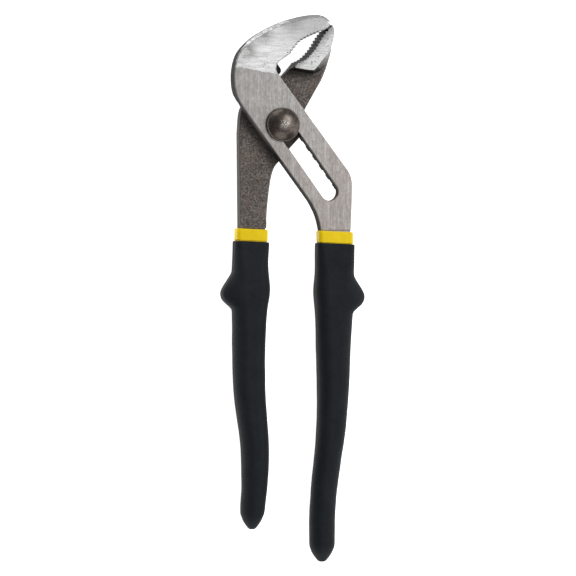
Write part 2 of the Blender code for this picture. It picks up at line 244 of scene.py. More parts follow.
class Handle:
    """A handle under its dips: the grip's edges as (y, x) knots, and where its band, bump and tip are."""

    middle = 7.75
    thickness = [(-6, 4.75), (1, 4.75), (20, 7.4), (27, 7.6), (37, 7.1), (70, 7.2), (100, 6.8), (150, 6.1)]
    corner = [(-6, 2.6), (1, 2.8), (20, 5.6), (150, 5.6)]
    taper = [(0, 0.15), (0.15, 0.24), (0.5, 0.33), (1.1, 0.42), (2.1, 0.55), (3.8, 0.74), (5.4, 0.865),
             (6.4, 0.915), (7.0, 0.965), (8.5, 0.99), (10, 1), (200, 1)]
    bump = [(-12, 0), (-9.8, 0), (-7.3, 0.3), (-5.4, 2.3), (-3.2, 4.6), (0, 5.6), (2.8, 4.7), (7.3, 1.8),
            (9.8, 0.3), (12, 0)]
    slant = 0.045

    def __init__(self, band, mouth, tip, bump_at, bump_side, steel_middle, left, right):
        self.band, self.mouth, self.tip = band, mouth, tip
        self.bump_at, self.bump_side = bump_at, bump_side
        self.steel_middle, self.left, self.right = steel_middle, left, right

    def ring(self, y, skin, corner_steps=5, bumped=False, slanted=0.0):
        """A rounded rectangle round the handle at y, this far inside the grip's outer face."""
        left, right = at(self.left, y), at(self.right, y)
        below = self.mouth - y
        from_tip = y - self.tip[1]
        taper = at(self.taper, from_tip)
        centre = self.tip[0] + ((left + right) / 2 - self.tip[0]) * min(1, from_tip / 10)
        middle = at([(-6, self.steel_middle), (1, self.steel_middle), (20, self.middle), (160, self.middle)],
                    below)
        a = (right - left) / 2 * taper - skin
        b = at(self.thickness, below) * taper - skin
        r = min(max(at(self.corner, below) * taper - skin, 0.6), a - 0.05, b - 0.05)
        out = at(self.bump, y - self.bump_at) if bumped else 0
        points = []
        for quarter in range(4):
            cx = (a - r) * (1 if quarter in (0, 3) else -1)
            cz = (b - r) * (1 if quarter in (0, 1) else -1)
            for x, z in arc((cx, cz), r, 90 * quarter, 90 * quarter + 90, corner_steps):
                share = max(0, self.bump_side * x / a)
                points.append((centre + x + self.bump_side * out * share ** 2, y - slanted * x, middle + z))
        return points


slotted_handle = Handle(
    band=-50.1, mouth=-55.9, tip=(20.9, -205.9), bump_at=-81.0, bump_side=1,
    steel_middle=(MIDDLE_HIGH + FACE) / 2,
    left=[(-206, 15.0), (-185, 15.0), (-168, 16.2), (-149, 18.2), (-129, 19.0), (-100, 18.3), (-88, 18.0),
          (-79, 17.3), (-70, 17.6), (-56, 17.1), (-40, 17.1)],
    right=[(-206, 27.0), (-180, 27.4), (-161, 29.7), (-143, 32.4), (-120, 34.1), (-100, 35.0), (-90, 35.6),
           (-70, 35.9), (-56, 35.3), (-40, 35.2)])


def handle_core(handle, top):
    """The steel under the dips, which rises into the flat of its half."""
    ends = [handle.ring(top, 2.3)]
    ends += [handle.ring(y, 2.0) for y in (handle.band + 1, handle.mouth)]
    lowest = handle.tip[1] + 12
    ends += [handle.ring(handle.mouth - d, 2.45) for d in range(14, 150, 8) if handle.mouth - d > lowest]
    return lofted("core", ends + [handle.ring(handle.tip[1] + 8, 2.45)])


def slotted_half_mesh():
    bar_right = curve([(33.3, -49.8), (33.8, -38.0), (34.0, -28.5), (33.6, -25.3), (32.6, -22.3)])
    throat = curve([(-1.3, 22.8), (0.5, 24.8), (0.6, 26.4), (-0.6, 28.3), (-1.5, 29.6)]) + [(0.9, 31.4)]
    grip_edge = [(3.7, 33.4)] + toothed([(3.8, 33.8), (5.6, 36.2), (8.5, 39.5), (12.4, 41.7), (17.7, 43.9)])
    jaw = curve([(20.6, 44.7), (22.1, 45.6), (23.3, 46.8), (23.4, 48.4), (22.1, 50.1), (19.4, 51.5),
                 (15.5, 51.9), (8.5, 51.0), (-1.3, 48.2), (-11.0, 43.5), (-17.8, 38.0), (-21.6, 32.6),
                 (-23.3, 25.6), (-23.3, 18.6), (-22.1, 13.4), (-19.9, 9.1), (-17.1, 5.3), (-14.2, 1.35)])
    # One curve runs round the jaw, and only its rim changes at these places along it.
    to_nose, to_crown, to_cheek = 26, 44, 84
    tip, nose = jaw[:to_nose], jaw[to_nose:to_crown]
    crown, cheek = jaw[to_crown:to_cheek], jaw[to_cheek:]
    bar_left = curve([(13.3, -35.7), (16.0, -40.6), (17.6, -44.9), (18.7, -49.8)])
    body = blank("slotted_half_steel", [
        (bar_right, 0.35, 0.3, 0.3), (throat, 0.3, 0.3, 0.3), (grip_edge, 0.13, 0.13, 0),
        (tip, 0.45, 0.5, 0), (nose, 1.1, 0.8, 1), (crown, 1.75, 1.2, 1), (cheek, 0.5, 1.0, 0),
        (bar_left, 0.4, 0.3, 0.3),
    ], BACK, FACE)

    # The jaw's outer wall has a forging's draft, so it leans in towards the back.
    for vertex in body.data.vertices:
        x, y, z = vertex.co
        on_jaw = min(1, max(0, (20 - x) / 15)) * min(1, max(0, (y - 3) / 10))
        drawn = 0.04 * (FACE - z) / (FACE - BACK) * on_jaw
        vertex.co.x -= drawn * (x - 5)
        vertex.co.y -= drawn * (y - 20)

    # The back is forged away to leave the jaw thick, with a step that curves round the bolt.
    foot = arc((0, 0), 22.3, 78, 175, 40)
    around = [(-40, 2), (-40, -70), (60, -70), (60, 22), (4, 22)]
    sloped = []
    for x, y in foot:
        grow = 1.04 + 0.22 * max(0, -x - 8) / 14
        sloped.append((x * grow, y * grow))
    step = prism("step", sloped + around, foot + around, BACK - 1, MIDDLE_HIGH)
    nick = arc((1.5, 26.4), 4.5, 228, 137, 16) + [(3.4, 33.1), (6.0, 32.0), (4.0, 22.4)]
    throat_nick = prism("nick", nick, nick, MIDDLE_HIGH - 0.15, FACE + 2)

    def slot(grown, top, bottom, steps=32):
        half = SLOT_HALF_WIDTH + grown
        return (arc(by_slot(top, 0), half, SLOT_TURN + 90, SLOT_TURN + 270, steps)
                + arc(by_slot(bottom, 0), half, SLOT_TURN - 90, SLOT_TURN + 90, steps))

    plain, flared = slot(0, SLOT_TOP, SLOT_BOTTOM), slot(0.4, SLOT_TOP, SLOT_BOTTOM)
    levels = [(plain, BACK), (plain, FACE - 0.35), (flared, FACE + 0.05), (flared, FACE + 2)]
    slot_cut = lofted("slot", [[(x, y, z) for x, y in outline] for outline, z in levels])
    pocket = slot(-0.02, SLOT_BOTTOM - 3, SLOT_BOTTOM + RUN_OUT)
    tools = [step, throat_nick, slot_cut, prism("run_out", pocket, pocket, BACK, GROOVE_CEILING)]
    for k in range(GROOVES):
        centre = by_slot(k * GROOVE_PITCH, 0)
        start, end = SLOT_TURN + 5, SLOT_TURN + 56
        groove = arc(centre, GROOVE_RADII[1], start, end, 16) + arc(centre, GROOVE_RADII[0], end, start, 16)
        tools.append(prism(f"groove_{k}", groove, groove, BACK, GROOVE_CEILING - 0.01 * (k % 2)))
    return shaded(worked(worked(body, "DIFFERENCE", tools), "UNION", [handle_core(slotted_handle, -44)]))


class Value:
    """One output of a shader node. Sums and products of it add Math nodes, so a mask reads as a formula."""

    def __init__(self, finish, socket):
        self.finish, self.socket = finish, socket

    def maths(self, operation, a, b=0.0):
        return self.finish.add("ShaderNodeMath", {"operation": operation}, {0: a, 1: b})

    def __add__(self, other):
        return self.maths("ADD", self, other)

    def __sub__(self, other):
        return self.maths("SUBTRACT", self, other)

    def __rsub__(self, other):
        return self.maths("SUBTRACT", other, self)

    def __mul__(self, other):
        return self.maths("MULTIPLY", self, other)

    def __abs__(self):
        return self.maths("ABSOLUTE", self)

    def __or__(self, other):
        return self.maths("MAXIMUM", self, other)

    __radd__, __rmul__ = __add__, __mul__


class Finish:
    """A material on one Principled shader, with places in millimetres on the object."""

    def __init__(self, name, constants=()):
        self.material = bpy.data.materials.new(name)
        self.material.use_nodes = True
        self.tree = self.material.node_tree
        self.shader = self.tree.nodes["Principled BSDF"]
        for key, value in dict(constants).items():
            self.shader.inputs[key].default_value = value
        place = self.add("ShaderNodeTexCoord", {}, {}, "Object")
        self.place = self.add("ShaderNodeVectorMath", {"operation": "SCALE"}, {0: place, "Scale": 1 / MM})
        self.x, self.y, self.z = self.parts(self.place)
        self.nx, self.ny, self.nz = self.parts(self.add("ShaderNodeTexCoord", {}, {}, "Normal"))

    def add(self, kind, settings, inputs, output=0):
        """A node from its type, its settings, and its inputs' values or links."""
        node = self.tree.nodes.new(kind)
        for key, value in settings.items():
            setattr(node, key, value)
        for key, value in inputs.items():
            if isinstance(value, Value):
                self.tree.links.new(value.socket, node.inputs[key])
            else:
                node.inputs[key].default_value = value
        return Value(self, node.outputs[output])

    def parts(self, vector):
        return [self.add("ShaderNodeSeparateXYZ", {}, {0: vector}, k) for k in range(3)]

    def noise(self, stretch, detail=3.0, roughness=0.6, distortion=0.0):
        """Noise with this many features a millimetre along x, y and z."""
        stretch = (stretch,) * 3 if isinstance(stretch, (int, float)) else stretch
        where = self.add("ShaderNodeVectorMath", {"operation": "MULTIPLY"}, {0: self.place, 1: stretch})
        return self.add("ShaderNodeTexNoise", {}, {"Vector": where, "Scale": 1.0, "Detail": detail,
                                                   "Roughness": roughness, "Distortion": distortion}, 0)

    def step(self, value, low, high):
        """A smooth step from 0 at low to 1 at high."""
        return self.add("ShaderNodeMapRange", {"interpolation_type": "SMOOTHSTEP"},
                        {"Value": value, "From Min": low, "From Max": high})

    def mix(self, share, a, b):
        """A colour between two."""
        a, b = ((*c, 1.0) if isinstance(c, tuple) else c for c in (a, b))
        return self.add("ShaderNodeMix", {"data_type": "RGBA"}, {0: share, 6: a, 7: b}, 2)

    def near(self, x, y, reach):
        """A soft spot of 1 round a place seen from above, down to 0 at this reach."""
        above = self.add("ShaderNodeCombineXYZ", {}, {0: self.x, 1: self.y})
        gap = self.add("ShaderNodeVectorMath", {"operation": "DISTANCE"}, {0: above, 1: (x, y, 0.0)}, "Value")
        return self.step(gap, reach, 0.0)

    def worn_edges(self, radius):
        """How far the surface turns within this radius: 0 on a flat, towards 1 on an edge."""
        turned = self.add("ShaderNodeBevel", {"samples": 6}, {"Radius": radius * MM})
        plain = self.add("ShaderNodeNewGeometry", {}, {}, "Normal")
        same = self.add("ShaderNodeVectorMath", {"operation": "DOT_PRODUCT"}, {0: turned, 1: plain}, "Value")
        return self.step(same, 0.995, 0.86)

    def finish(self, colour, roughness, metallic, height=None, depth=0.02, soft_edges=0.0):
        """Joins the shader's inputs. Height is a bump of this depth in millimetres."""
        links = {"Base Color": colour, "Roughness": roughness, "Metallic": metallic}
        if height is not None:
            bump = {"Height": height, "Distance": depth * MM, "Strength": 1.0}
            if soft_edges:
                bump["Normal"] = self.add("ShaderNodeBevel", {"samples": 6}, {"Radius": soft_edges * MM})
            links["Normal"] = self.add("ShaderNodeBump", {}, bump)
        for key, value in links.items():
            if isinstance(value, Value):
                self.tree.links.new(value.socket, self.shader.inputs[key])
            else:
                self.shader.inputs[key].default_value = (*value, 1.0) if isinstance(value, tuple) else value
        return self.material


def ground_steel():
    steel = Finish("ground_steel", {"Specular IOR Level": 0.05})
    broad = steel.noise(0.11, 3)
    blotch = steel.noise(0.42, 4, 0.65)
    front = steel.step(steel.z, FACE - 2.2, FACE - 1.2)
    flat = steel.step(abs(steel.nz), 0.30, 0.55) * (front | steel.step(steel.nz, 0.2, -0.2))
    edge_of_polish = steel.y + 0.162 * (steel.x + 22.2) + 1.3 * (steel.noise(0.35, 2) - 0.5)
    polished = steel.step(edge_of_polish, 26.7, 27.2) * front
    along = steel.noise((1.25, 0.06, 1.0), 3, 0.7)
    along_fine = steel.noise((4.6, 0.16, 1.0), 3, 0.65)
    speckle = steel.noise((1.1, 0.55, 1.0), 3, 0.7)
    across = steel.noise((0.09, 1.15, 1.0), 3, 0.75)
    across_fine = steel.noise((0.30, 4.4, 1.0), 3, 0.65)
    pits = steel.step(steel.noise(1.5, 2, 0.5), 0.62, 0.66) * steel.step(steel.noise(0.13, 2), 0.52, 0.62)
    pinholes = steel.step(steel.noise(2.2, 2, 0.5), 0.66, 0.72)
    edges = steel.worn_edges(0.45)
    # The polish is darkened where its surface turns at an edge.
    polish_edge_darkening = steel.worn_edges(1.4) * polished

    satin = steel.mix(steel.step(steel.y, 20.0, -25.0), (0.275, 0.27, 0.26), (0.285, 0.255, 0.238))
    satin = steel.mix(steel.step(broad, 0.35, 0.7) * 0.35, satin, (0.24, 0.228, 0.217))
    satin = steel.mix(steel.step(blotch, 0.45, 0.7) * 0.3, satin, (0.22, 0.205, 0.195))
    satin = steel.mix(steel.step(along, 0.45, 0.7) * 0.5, satin, (0.45, 0.435, 0.42))
    satin = steel.mix(steel.step(along, 0.46, 0.3) * 0.35, satin, (0.18, 0.17, 0.162))
    satin = steel.mix(steel.step(along_fine, 0.5, 0.65) * 0.4, satin, (0.18, 0.17, 0.162))
    satin = steel.mix(steel.step(speckle, 0.5, 0.66) * 0.3, satin, (0.50, 0.48, 0.46))
    satin = steel.mix(steel.step(speckle, 0.46, 0.34) * 0.3, satin, (0.14, 0.132, 0.126))
    bright = steel.mix(steel.step(across, 0.35, 0.65) * 0.75, (0.66, 0.66, 0.66), (0.40, 0.405, 0.405))
    bright = steel.mix(steel.step(across_fine, 0.5, 0.7) * 0.35, bright, (0.28, 0.28, 0.28))
    bright = steel.mix(steel.step(speckle, 0.5, 0.7) * 0.2, bright, (0.36, 0.36, 0.36))
    # Painted reflection: the polish is darkened towards the jaw's upper right.
    bright = steel.mix(steel.step(steel.x + 0.9 * steel.y, 28.0, 56.0) * 0.7, bright, (0.30, 0.305, 0.30))
    # Darker patches on the polish near the jaw's left side and top, broken up by noise.
    dark_patches = steel.near(-18.5, 34.5, 8.5) | steel.near(-9.5, 42.0, 6.5) * 0.7
    dark_patches = dark_patches | steel.near(4.0, 50.5, 9.0) * 0.7
    dark_patches = dark_patches * steel.step(broad + 0.5 * across_fine, 0.35, 0.8)
    bright = steel.mix(dark_patches, bright, (0.09, 0.088, 0.085))
    faces = steel.mix(polished, satin, bright)
    faces = steel.mix(pits * (0.22 + 0.5 * polished), faces, (0.10, 0.095, 0.09))
    faces = steel.mix(pinholes * 0.35, faces, (0.14, 0.13, 0.125))

    forging_scale = steel.step(steel.noise(1.2, 4, 0.7), 0.35, 0.7)
    skin = steel.mix(forging_scale, (0.010, 0.009, 0.008), (0.04, 0.036, 0.033))
    # Painted reflection: the black skin on the walls round the bolt is lightened, as if it caught the light.
    skin = steel.mix(steel.near(-9.0, -3.0, 17.0) * 0.8, skin, (0.15, 0.138, 0.13))
    skin = steel.mix(edges * 0.2, skin, (0.20, 0.19, 0.18))
    bevelled = steel.step(steel.nz, 0.94, 0.86) * polished
    bevel = steel.step(blotch + 0.4 * across_fine, 0.5, 0.8)
    bevel = steel.mix(bevel, (0.80, 0.805, 0.805), (0.34, 0.34, 0.34))
    # Painted shade: the bevel is darkened towards the right.
    bevel = steel.mix(steel.step(steel.x + 3.0 * blotch, -3.0, 6.0) * 0.6, bevel, (0.14, 0.14, 0.14))
    faces = steel.mix(bevelled, steel.mix(polish_edge_darkening * 1.6, faces, (0.15, 0.15, 0.15)), bevel)
    colour = steel.mix(flat, skin, steel.mix(edges * (0.4 - 0.4 * polished), faces, (0.62, 0.60, 0.58)))
    rough = 0.62 - flat * 0.24 - polished * flat * 0.10 + 0.16 * (along_fine - 0.5)
    rough = rough + pits * 0.1 + bevelled * 0.2
    lines = across * polished * (1 - 0.8 * bevelled)
    height = along * (1 - polished) + lines + 0.5 * along_fine * (1 - polished) - 1.5 * pits * (1 - bevelled)
    return steel.finish(colour, rough, flat, height, 0.02, soft_edges=0.25)


slotted_half = slotted_half_mesh()
slotted_half.data.materials.clear()
slotted_half.data.materials.append(ground_steel())
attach(slotted_half, "slotted_body")
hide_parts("slotted_half")


# ---- Pivot bolt ----
# A cold-headed bolt with a low round head and a short rim, oiled black. Its head is a little dented where
# it was struck in the middle, and its plain shank fills the width of the slot.

HEAD_LOW = 14.7
HEAD_RADIUS = 8.0
HEAD_TOP = 18.7
RIM_TOP = HEAD_LOW + 1.4
SHANK_RADIUS = 4.0


def turned(name, profile, sides=96):
    """A solid of revolution about the bolt's axis, from (radius, height) points. A zero radius closes it."""
    bm = bmesh.new()
    rows = []
    for radius, height in profile:
        around = range(sides) if radius else range(1)
        angles = [2 * math.pi * i / sides for i in around]
        rows.append([bm.verts.new((radius * math.cos(a), radius * math.sin(a), height)) for a in angles])
    for a, b in zip(rows, rows[1:] + rows[:1]):
        if len(a) == len(b) == 1:
            continue
        for i in range(sides):
            j = (i + 1) % sides
            corners = [a[i % len(a)], a[j % len(a)], b[j % len(b)], b[i % len(b)]]
            bm.faces.new(list(dict.fromkeys(corners)))
    return mesh_object(name, bm)


def rounded(corners, size, steps=4):
    """A profile with its inner corners rounded: each corner becomes a short curve of this reach."""
    made = [corners[0]]
    for a, b, c in zip(corners, corners[1:], corners[2:]):
        a, b, c = Vector(a), Vector(b), Vector(c)
        reach = min(size, (b - a).length * 0.45, (c - b).length * 0.45)
        start, end = b + (a - b).normalized() * reach, b + (c - b).normalized() * reach
        for i in range(steps + 1):
            t = i / steps
            made.append(tuple((1 - t) ** 2 * start + 2 * t * (1 - t) * b + t * t * end))
    return made + [corners[-1]]


def pivot_bolt_mesh():
    inner = HEAD_RADIUS - 0.55
    rise = HEAD_TOP - RIM_TOP
    dome_radius = (inner ** 2 + rise ** 2) / (2 * rise)
    spread = math.degrees(math.asin(inner / dome_radius))
    dome = arc((0, HEAD_TOP - dome_radius), dome_radius, 90 - spread, 90, 36)[:-1]
    stem = [(0, 0), (2.6, 0), (SHANK_RADIUS, 0.7), (SHANK_RADIUS, HEAD_LOW), (HEAD_RADIUS, HEAD_LOW),
            (HEAD_RADIUS, RIM_TOP - 0.05), (inner + 0.12, RIM_TOP - 0.02), (inner + 0.06, RIM_TOP - 0.12)]
    body = turned("pivot_bolt_steel", rounded(stem, 0.28) + dome + [(0, HEAD_TOP)])
    for vertex in body.data.vertices:
        x, y, z = vertex.co
        reach = math.hypot(x, y)
        if z > RIM_TOP and reach < 3.4:
            struck = (1 - (reach / 3.4) ** 2) ** 2
            dent = 0.5 + 0.5 * noise.fractal(Vector((x * 0.9, y * 0.7, 3.1)), 0.8, 2.0, 3)
            vertex.co.z -= 0.22 * struck * max(dent, 0)
    return shaded(body, 40)


def oiled_steel():
    steel = Finish("oiled_steel")
    mottle = steel.noise(0.45, 4, 0.65)
    fine = steel.noise(1.8, 3, 0.6)
    struck = steel.near(0.0, 0.0, 3.4) * steel.step(steel.z, RIM_TOP, HEAD_TOP)
    colour = steel.mix(steel.step(mottle, 0.3, 0.7), (0.085, 0.069, 0.058), (0.150, 0.128, 0.117))
    # Painted shade: the head's left-facing side is darkened.
    colour = steel.mix(steel.step(steel.nx, -0.12, -0.5) * 0.6, colour, (0.05, 0.04, 0.034))
    colour = steel.mix(steel.step(fine, 0.5, 0.75) * 0.35, colour, (0.26, 0.235, 0.22))
    colour = steel.mix(steel.step(mottle + 0.4 * fine, 0.60, 0.48) * 0.35, colour, (0.075, 0.058, 0.05))
    colour = steel.mix(struck * steel.step(fine, 0.46, 0.6), colour, (0.48, 0.46, 0.44))
    colour = steel.mix(steel.worn_edges(0.25) * 0.5, colour, (0.42, 0.38, 0.35))
    rough = 0.22 + 0.18 * mottle + 0.10 * struck
    return steel.finish(colour, rough, 1.0, mottle + 0.6 * fine, 0.05)


pivot_bolt = pivot_bolt_mesh()
oiled = oiled_steel()
pivot_bolt.data.materials.append(oiled)
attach(pivot_bolt, "pivot_body")
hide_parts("pivot_bolt")


# ---- Tongued half ----
# The other forging: inner jaw, hub, shank and handle core. It is shot-blasted and left dark all over, with
# rounded edges. Only the jaw's raised face is ground bright. A curved tongue stands on the hub's face, and
# the back is bored for the bolt and spot-faced for the nut.

TONGUE_TOP = MIDDLE_LOW + 1.5
TONGUE_RADII = (8.6, 10.8)
TONGUE_SPAN = (28.0, 54.0)
HOLE_RADIUS = 4.2
SPOTFACE_RADIUS = 8.5
SPOTFACE_FLOOR = 4.7

tongued_handle = Handle(
    band=-49.0, mouth=-54.9, tip=(-13.2, -190.3), bump_at=-79.4, bump_side=-1,
    steel_middle=(BACK + MIDDLE_LOW) / 2,
    left=[(-191, -18.7), (-180, -18.6), (-170, -18.1), (-150, -18.7), (-130, -21.4), (-115, -22.4),
          (-90, -22.6), (-69, -22.4), (-55, -21.3), (-40, -21.1)],
    right=[(-191, -7.6), (-180, -7.0), (-165, -5.5), (-149, -5.4), (-130, -6.8), (-119, -7.2), (-105, -7.1),
           (-88, -6.2), (-78, -4.9), (-67, -5.4), (-55, -4.7), (-40, -4.8)])


def tongued_half_mesh():
    foot = [(-19.0, -48.7), (-6.2, -48.7)]
    shank_right = curve([(-6.1, -46.0), (-5.7, -40.2), (-4.8, -31.7), (-3.8, -25.1), (-2.4, -20.6),
                         (-0.6, -17.9)]) + [(4.7, -11.5)]
    hub = curve([(9.6, -6.3), (11.1, -2.6), (11.3, 2.0), (12.4, 7.0)])
    neck = curve([(18.3, 17.2), (20.9, 21.4), (23.7, 28.4), (25.5, 36.0), (25.7, 42.0)])
    tip = [(24.9, 46.2), (24.65, 46.85), (24.2, 47.15), (23.85, 46.9), (23.7, 46.3)]
    grip_edge = toothed([(22.5, 45.0), (20.8, 43.5), (18.2, 39.8), (16.4, 36.7),
                                          (13.5, 33.1), (10.3, 30.4), (7.3, 29.1)])
    behind = [(4.4, 25.6)] + curve([(1.9, 23.0), (-7.5, 17.6), (-15.3, 11.0), (-18.5, 6.1), (-19.4, -4.0)])
    behind.append((-19.0, -45.0))

    def jaw_blank(name, low, high, upper_rim, shrunk):
        return blank(name, [
            (foot[1:], 0.1, 0.1, 0), (shank_right, upper_rim, 0.6, 0), (hub, min(upper_rim, 0.5), 0.6, 0),
            (neck, upper_rim, 0.6, 0), (tip, 0.08, 0.08, 0), (grip_edge, 0.13, 0.13, 0),
            (behind, upper_rim, 0.6, 0), (foot[:1], 0.1, 0.1, 0)], low, high, shrunk)

    # The raised jaw stands in a plate that is rounded all along its own face.
    raised = jaw_blank("jaw", BACK + 1.5, FACE, 0.5, 0.04)
    heel = [(2.0, 30.5), (5.2, 28.6), (6.3, 26.8), (11.9, 25.9), (15.3, 25.6)]
    border = curve([(17.2, 27.5), (19.2, 30.2), (21.6, 33.0), (23.8, 37.0), (25.0, 41.0), (25.6, 45.0)])
    foot_heel = [(2.0, 29.0), (4.4, 27.3), (5.4, 25.7), (11.5, 24.8), (16.5, 24.0)]
    foot_border = curve([(20.0, 25.6), (22.9, 28.6), (24.7, 32.6), (25.6, 37.0), (25.9, 41.5), (25.9, 45.0)])
    outside = [(35, 47), (35, -70), (-40, -70), (-40, 30.5)]
    levels = [(foot_heel + foot_border, BACK - 2), (foot_heel + foot_border, MIDDLE_LOW),
              (heel + border, FACE - 0.2), (heel + border, FACE + 2)]
    beside = lofted("beside_jaw", [[(x, y, z) for x, y in inner + outside] for inner, z in levels])
    raised = worked(raised, "DIFFERENCE", [beside])
    plate = jaw_blank("tongued_half_steel", BACK, MIDDLE_LOW, 1.3, 0.0)

    start, end = SLOT_TURN + TONGUE_SPAN[0], SLOT_TURN + TONGUE_SPAN[1]
    ridge = arc((0, 0), TONGUE_RADII[1], start, end, 8) + arc((0, 0), TONGUE_RADII[0], end, start, 8)
    tongue = blank("tongue", [(ridge, 0.25, 0.01, 0)], MIDDLE_LOW - 1, TONGUE_TOP)
    hole = turned("hole", [(0, 0), (HOLE_RADIUS, 0), (HOLE_RADIUS, MIDDLE_LOW - 0.3),
                           (HOLE_RADIUS + 0.5, FACE), (0, FACE)])
    spotface = turned("spotface", [(0, 0), (SPOTFACE_RADIUS + 0.3, 0), (SPOTFACE_RADIUS + 0.3, BACK - 0.05),
                                   (SPOTFACE_RADIUS, BACK + 0.3), (SPOTFACE_RADIUS, SPOTFACE_FLOOR),
                                   (0, SPOTFACE_FLOOR)])
    body = worked(plate, "UNION", [raised, tongue, handle_core(tongued_handle, -43)])
    return shaded(worked(body, "DIFFERENCE", [hole, spotface]))


def forged_steel():
    steel = Finish("forged_steel", {"Specular IOR Level": 0.12})
    grit = steel.noise(1.25, 4, 0.8)
    grain = steel.noise(3.4, 3, 0.7)
    coarse = steel.noise(0.42, 4, 0.7)
    warm = steel.noise(0.20, 2)
    edges = steel.worn_edges(1.1)
    lit_side = steel.step(steel.nx, 0.15, 0.75)
    colour = steel.mix(steel.step(grit, 0.40, 0.62), (0.035, 0.028, 0.024), (0.22, 0.196, 0.18))
    colour = steel.mix(steel.step(grain, 0.45, 0.7) * 0.35, colour, (0.27, 0.25, 0.235))
    colour = steel.mix(steel.step(coarse, 0.40, 0.68) * 0.5, colour, (0.07, 0.058, 0.052))
    colour = steel.mix(steel.step(warm, 0.45, 0.7) * 0.4, colour, (0.16, 0.120, 0.10))
    # Painted light: sides facing right, and rounded edges that don't face left, are lightened as if lit from
    # the right.
    painted_light_on_right = (edges * steel.step(steel.nx, -0.3, 0.1) | lit_side) * 0.45
    colour = steel.mix(painted_light_on_right, colour, (0.34, 0.32, 0.31))
    # Painted shade: sides facing left are darkened.
    colour = steel.mix(steel.step(steel.nx, -0.15, -0.6) * 0.7, colour, (0.045, 0.04, 0.037))

    raised = steel.step(steel.z, MIDDLE_LOW + 1.0, FACE - 0.8)
    ground = steel.step(steel.nz, 0.72, 0.95) * steel.step(steel.z, FACE - 0.9, FACE - 0.4)
    across = steel.noise((0.20, 1.3, 1.0), 3, 0.7)
    pits = steel.step(steel.noise(0.95, 2, 0.5), 0.63, 0.68)
    bright = steel.mix(steel.step(across, 0.35, 0.65) * 0.7, (0.54, 0.54, 0.54), (0.33, 0.33, 0.33))
    bright = steel.mix(pits * 0.75, bright, (0.16, 0.16, 0.16))
    from_grip = 0.72 * (steel.x - 7.3) - 0.69 * (steel.y - 29.1)
    bright = steel.mix(steel.step(from_grip, 4.4, 0.3) * 0.7, bright, (0.17, 0.17, 0.17))
    # Painted light: the raised jaw's right-facing slope is lightened.
    side = steel.step(steel.nx, 0.25, 0.6) * raised
    colour = steel.mix(side * 0.75, colour, (0.46, 0.455, 0.45))
    # Painted shade and shadow: the wall under the jaw's heel, a band of the lower plane below the heel, and a
    # strip of the shank beside the slotted half's bar are darkened where shadow falls.
    painted_shade_under_heel = steel.step(steel.ny, -0.25, -0.7) * steel.step(steel.z, MIDDLE_LOW - 0.5, MIDDLE_LOW + 0.6)
    painted_shadow_below_heel = steel.step(steel.y, 20.5, 24.5) * steel.step(steel.x, 23.0, 14.0) * (1 - raised)
    across_bar_edge = 0.77 * (steel.x + 20.0) + 0.64 * (steel.y - 8.0)
    painted_bar_shadow = steel.step(across_bar_edge, -6.0, -0.3) * steel.step(across_bar_edge, 19.0, 12.0)
    painted_bar_shadow = painted_bar_shadow * steel.step(steel.y, -24.0, -14.0) * 0.6
    colour = steel.mix(painted_shade_under_heel | painted_shadow_below_heel * 0.75 | painted_bar_shadow * (1 - raised), colour, (0.018, 0.016, 0.015))
    # Painted shade: the jaw's gripping wall, which faces into the gap under the other jaw, is darkened.
    gripping = steel.step(steel.ny - steel.nx, 0.55, 0.95) * steel.step(steel.y, 27.0, 29.5)
    colour = steel.mix(gripping * 0.75, colour, (0.035, 0.032, 0.03))
    colour = steel.mix(ground, colour, bright)
    machined = steel.near(0.0, 0.0, SPOTFACE_RADIUS + 0.6) * steel.step(steel.z, 4.9, 4.5)
    colour = steel.mix(steel.step(machined, 0.02, 0.06) * 0.7, colour, (0.40, 0.38, 0.36))
    rough = 0.55 - 0.10 * edges - 0.28 * ground + 0.14 * (grit - 0.5)
    height = (grit + 0.7 * coarse + 0.3 * grain) * (1 - 0.9 * ground)
    return steel.finish(colour, rough, 0.35 + 0.65 * ground, height, 0.16, soft_edges=0.3)


tongued_half = tongued_half_mesh()
tongued_half.data.materials.clear()
tongued_half.data.materials.append(forged_steel())
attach(tongued_half, "tongued_body")
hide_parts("tongued_half")


# ---- Wave washer ----
# A thin spring ring with three waves, pressed from bright spring steel strip. It takes up the play between
# the nut and the tongued half.

WASHER_RADII = (4.3, 7.3)
WASHER_MIDDLE = 4.05
WASHER_THICKNESS = 0.5
WAVE_HEIGHT = 0.12
washer_rings = []
for i in range(108):
    turn = 2 * math.pi * i / 108
    height = WASHER_MIDDLE + WAVE_HEIGHT * math.cos(3 * turn)
    half = WASHER_THICKNESS / 2
    section = rounded([(WASHER_RADII[0], -half), (WASHER_RADII[1], -half), (WASHER_RADII[1], half),
                       (WASHER_RADII[0], half), (WASHER_RADII[0], -half + 0.01)], 0.12, 2)
    washer_rings.append([(r * math.cos(turn), r * math.sin(turn), height + z) for r, z in section])
wave_washer = shaded(lofted("wave_washer_ring", washer_rings, closed_row=True), 40)

spring = Finish("spring_steel")
ringed = spring.noise((0.9, 0.9, 6.0), 3)
spring_colour = spring.mix(spring.step(ringed, 0.3, 0.7), (0.34, 0.33, 0.32), (0.50, 0.49, 0.47))
spring_colour = spring.mix(spring.worn_edges(0.15) * 0.5, spring_colour, (0.70, 0.68, 0.66))
wave_washer.data.materials.append(spring.finish(spring_colour, 0.28 + 0.2 * ringed, 1.0, ringed, 0.01))
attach(wave_washer, "pivot_body")
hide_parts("wave_washer")


# ---- Lock nut ----
# A thin hexagon nut, turned to a cone at both ends of its corners, drilled, and oiled like the bolt. It
# sits in the spot face, and its lower face is the lowest plane of the tool as it lies.

